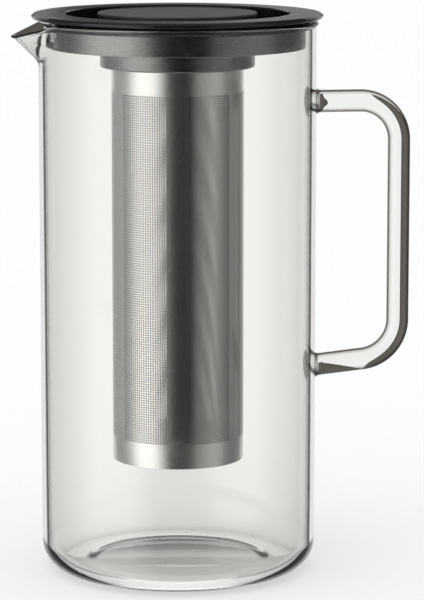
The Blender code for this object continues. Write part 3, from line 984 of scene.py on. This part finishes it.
def make_floor():
    """White paper that keeps a faint shadow and that reflections pass through."""
    corners = ((-1.0, -1.0), (1.0, -1.0), (1.0, 1.0), (-1.0, 1.0))
    verts = [(FLOOR_SIZE * x, FLOOR_SIZE * y, 0.0) for x, y in corners]
    mesh = plain_mesh("floor", verts, [(0, 1, 2, 3)])
    material, tree, shader = new_material("floor_paper")
    shader.inputs["Base Color"].default_value = (0.97, 0.97, 0.97, 1.0)
    shader.inputs["Roughness"].default_value = 1.0
    shader.inputs["Specular IOR Level"].default_value = 0.0
    white = put(tree, "ShaderNodeEmission", Strength=1.0)
    paper = put(tree, "ShaderNodeMixShader")
    share = span(tree, background_rays(tree), 0.0, 1.0, 0.0, FLOOR_SHINE)
    tree.links.new(share, paper.inputs["Fac"])
    tree.links.new(shader.outputs["BSDF"], paper.inputs[1])
    tree.links.new(white.outputs["Emission"], paper.inputs[2])
    clear = put(tree, "ShaderNodeBsdfTransparent")
    show_by_ray(tree, paper.outputs["Shader"], clear.outputs["BSDF"])
    mesh.materials.append(material)
    floor = bpy.data.objects.new("floor", mesh)
    floor.location.z = -FLOOR_DROP
    bpy.context.scene.collection.objects.link(floor)


def stage_unseen(name, mesh):
    """Adds a piece of the studio that the camera, diffuse light and shadows pass through."""
    piece = bpy.data.objects.new(name, mesh)
    bpy.context.scene.collection.objects.link(piece)
    piece.visible_camera = False
    piece.visible_diffuse = False
    piece.visible_shadow = False
    return piece


def studio_wall(name, low, high, tones):
    """A round wall whose tone changes with the direction, in degrees from the camera's side."""
    verts, faces = [], []
    for a in all_round(WALL_STEPS):
        verts += [on_circle(a, WALL_RADIUS, z) for z in (low, high)]
    for step in range(WALL_STEPS):
        one, other = 2 * step, 2 * ((step + 1) % WALL_STEPS)
        faces.append((one, other, other + 1, one + 1))
    mesh = plain_mesh(name, verts, faces)
    material, tree = bare_material(name)
    point = put(tree, "ShaderNodeTexCoord")
    turn = put(tree, "ShaderNodeTexGradient", gradient_type="RADIAL")
    tree.links.new(point.outputs["Object"], turn.inputs["Vector"])
    ramp = put(tree, "ShaderNodeValToRGB")
    ramp.color_ramp.interpolation = "EASE"
    stops = ramp.color_ramp.elements
    for degrees, tone in tones[1:-1]:
        stops.new((degrees + 180.0) / 360.0).color = grey_tone(tone)
    stops[0].color = grey_tone(tones[0][1])
    stops[-1].color = grey_tone(tones[-1][1])
    tree.links.new(turn.outputs["Fac"], ramp.inputs["Fac"])
    emission = put(tree, "ShaderNodeEmission", Strength=WALL_STRENGTH)
    tree.links.new(ramp.outputs["Color"], emission.inputs["Color"])
    clear = put(tree, "ShaderNodeBsdfTransparent")
    show_by_ray(tree, clear.outputs["BSDF"], emission.outputs["Emission"])
    mesh.materials.append(material)
    # The gradient starts on the wall's -X side, which this turns away from the camera.
    stage_unseen(name, mesh).rotation_euler.z = VIEW_AZIMUTH - math.pi / 2.0


def studio_ceiling(strength):
    """A round dim ceiling that closes the studio walls."""
    verts = [on_circle(a, WALL_RADIUS, WALL_HEIGHTS[-1]) for a in all_round(CEILING_STEPS)]
    mesh = plain_mesh("ceiling", verts, [tuple(range(CEILING_STEPS))])
    material, tree = bare_material("ceiling")
    emission = put(tree, "ShaderNodeEmission", Strength=strength)
    clear = put(tree, "ShaderNodeBsdfTransparent")
    show_by_ray(tree, clear.outputs["BSDF"], emission.outputs["Emission"])
    mesh.materials.append(material)
    stage_unseen("ceiling", mesh)


def side_card(first, last, radius, height, tone):
    """A dark card behind the jug's side that only solid glass, as in the handle, bends into view.

    Its ends are directions in degrees from the camera's side.
    """
    verts, faces = [], []
    for step in range(CARD_STEPS + 1):
        degrees = first + (last - first) * step / CARD_STEPS
        a = math.radians(degrees) + VIEW_AZIMUTH - math.pi / 2.0
        verts += [on_circle(a, radius, z) for z in (0.0, height)]
    for step in range(CARD_STEPS):
        faces.append((2 * step, 2 * step + 2, 2 * step + 3, 2 * step + 1))
    mesh = plain_mesh("side_card", verts, faces)
    material, tree = bare_material("side_card")
    path = put(tree, "ShaderNodeLightPath")
    bounces = put(tree, "ShaderNodeMath", operation="MULTIPLY_ADD")
    bounces.inputs[1].default_value = CARD_REFLECTION_WEIGHT
    tree.links.new(path.outputs["Glossy Depth"], bounces.inputs[0])
    tree.links.new(path.outputs["Transmission Depth"], bounces.inputs[2])
    shown = put(tree, "ShaderNodeMath", operation="LESS_THAN")
    shown.inputs[1].default_value = CARD_LIMIT
    tree.links.new(bounces.outputs[0], shown.inputs[0])
    choice = put(tree, "ShaderNodeMixShader")
    tree.links.new(shown.outputs[0], choice.inputs["Fac"])
    clear = put(tree, "ShaderNodeBsdfTransparent")
    tree.links.new(clear.outputs["BSDF"], choice.inputs[1])
    dark = put(tree, "ShaderNodeEmission", Color=(*tone, 1.0))
    tree.links.new(dark.outputs["Emission"], choice.inputs[2])
    output = put(tree, "ShaderNodeOutputMaterial")
    tree.links.new(choice.outputs["Shader"], output.inputs["Surface"])
    mesh.materials.append(material)
    stage_unseen("side_card", mesh).visible_glossy = False


def make_world(strength):
    """White where it is seen, and of the given strength where it only lights."""
    world = bpy.data.worlds.new("studio")
    world.use_nodes = True
    tree = world.node_tree
    background = tree.nodes["Background"]
    background.inputs["Color"].default_value = (1.0, 1.0, 1.0, 1.0)
    level = span(tree, background_rays(tree), 0.0, 1.0, strength, 1.0)
    tree.links.new(level, background.inputs["Strength"])
    bpy.context.scene.world = world


def sun(name, azimuth, elevation, strength, spread):
    """A soft sun, its azimuth in degrees from the camera's side."""
    data = bpy.data.lights.new(name, "SUN")
    data.energy = strength
    data.angle = math.radians(spread)
    lamp = bpy.data.objects.new(name, data)
    a = VIEW_AZIMUTH + math.radians(azimuth)
    e = math.radians(elevation)
    towards = Vector((math.sin(a) * math.cos(e), -math.cos(a) * math.cos(e), math.sin(e)))
    lamp.rotation_mode = "QUATERNION"
    lamp.rotation_quaternion = towards.to_track_quat("Z", "Y")
    bpy.context.scene.collection.objects.link(lamp)


# The edge colours of both glasses are painted shade that darkens them at glancing slants.
glass = clear_glass(
    "clear_glass", (0.95, 0.945, 0.93), (0.004, 0.003, 0.002), first=0.90, last=0.99, painted_wall_line=0.73
)
handle_glass = clear_glass(
    "handle_glass", (0.94, 0.935, 0.915), (0.02, 0.015, 0.01), first=0.18, last=0.48
)
gloss = plastic("gloss_black", (0.006, 0.006, 0.007), roughness=0.10, ior=1.46, grain=0.0)
satin = brushed_metal("satin_black", (0.27, 0.27, 0.265), roughness=0.28, stretch=0.3)
grey = plastic("satin_grey", (0.034, 0.034, 0.034), roughness=0.40, ior=1.36, grain=0.12)
rubber = silicone("black_silicone")
steel = brushed_metal("brushed_steel", (0.88, 0.87, 0.85), roughness=0.19, stretch=0.85)
# A dark copy of the steel: its colour is painted shade for the tube's inside and the walls of its
# holes.
painted_shade_steel = brushed_metal("painted_shade_steel", (0.09, 0.085, 0.08), roughness=0.55, stretch=0.2)

# Tones of the walls by direction, in degrees from the camera's side, left below zero
LEFT_TONES = (
    (-125, 0.12), (-103, 0.15), (-90, 0.30), (-80, 0.60), (-70, 0.76), (-42, 0.76), (-30, 0.45),
    (-24, 0.24), (-17, 0.035), (-5, 0.010),
)
RIGHT_TONES = (
    (24, 0.010), (31, 0.13), (40, 0.17), (62, 0.24), (78, 0.24), (90, 0.11), (112, 0.08),
)
BACK_TONES = {
    "low_wall": (
        ((-180, 0.50), (-150, 0.42), (-138, 0.13)),
        ((138, 0.13), (150, 0.42), (180, 0.50)),
    ),
    "dark_wall": (
        ((-180, 0.06), (-176, 0.03), (-175, 0.12), (-150, 0.10)),
        ((150, 0.14), (176, 0.14), (180, 0.06)),
    ),
    "strip_wall": (
        ((-180, 0.32), (-150, 0.28), (-138, 0.10)),
        ((138, 0.10), (150, 0.28), (180, 0.32)),
    ),
    "high_wall": (
        ((-180, 0.04), (-150, 0.04)),
        ((150, 0.04), (180, 0.04)),
    ),
}

make_camera()
make_floor()
make_world(strength=0.88)
sun("key", azimuth=-40.0, elevation=58.0, strength=0.45, spread=60.0)
for (name, back), low, high in zip(BACK_TONES.items(), WALL_HEIGHTS, WALL_HEIGHTS[1:]):
    studio_wall(name, low, high, back[0] + LEFT_TONES + RIGHT_TONES + back[1])
studio_ceiling(strength=0.35)
side_card(first=166.0, last=221.0, radius=0.30, height=0.60, tone=(0.11, 0.10, 0.088))

make_glass_body(glass)
make_glass_handle(handle_glass)
make_infuser(steel, painted_shade_steel)
make_infuser_base(steel)
make_lid_top(gloss)
make_lid_gasket(rubber)
make_lid_skirt(satin)
make_strainer(steel, painted_shade_steel)
make_infuser_collar(satin)
make_cap(satin, grey, rubber)

bpy.context.scene.view_settings.view_transform = "Standard"
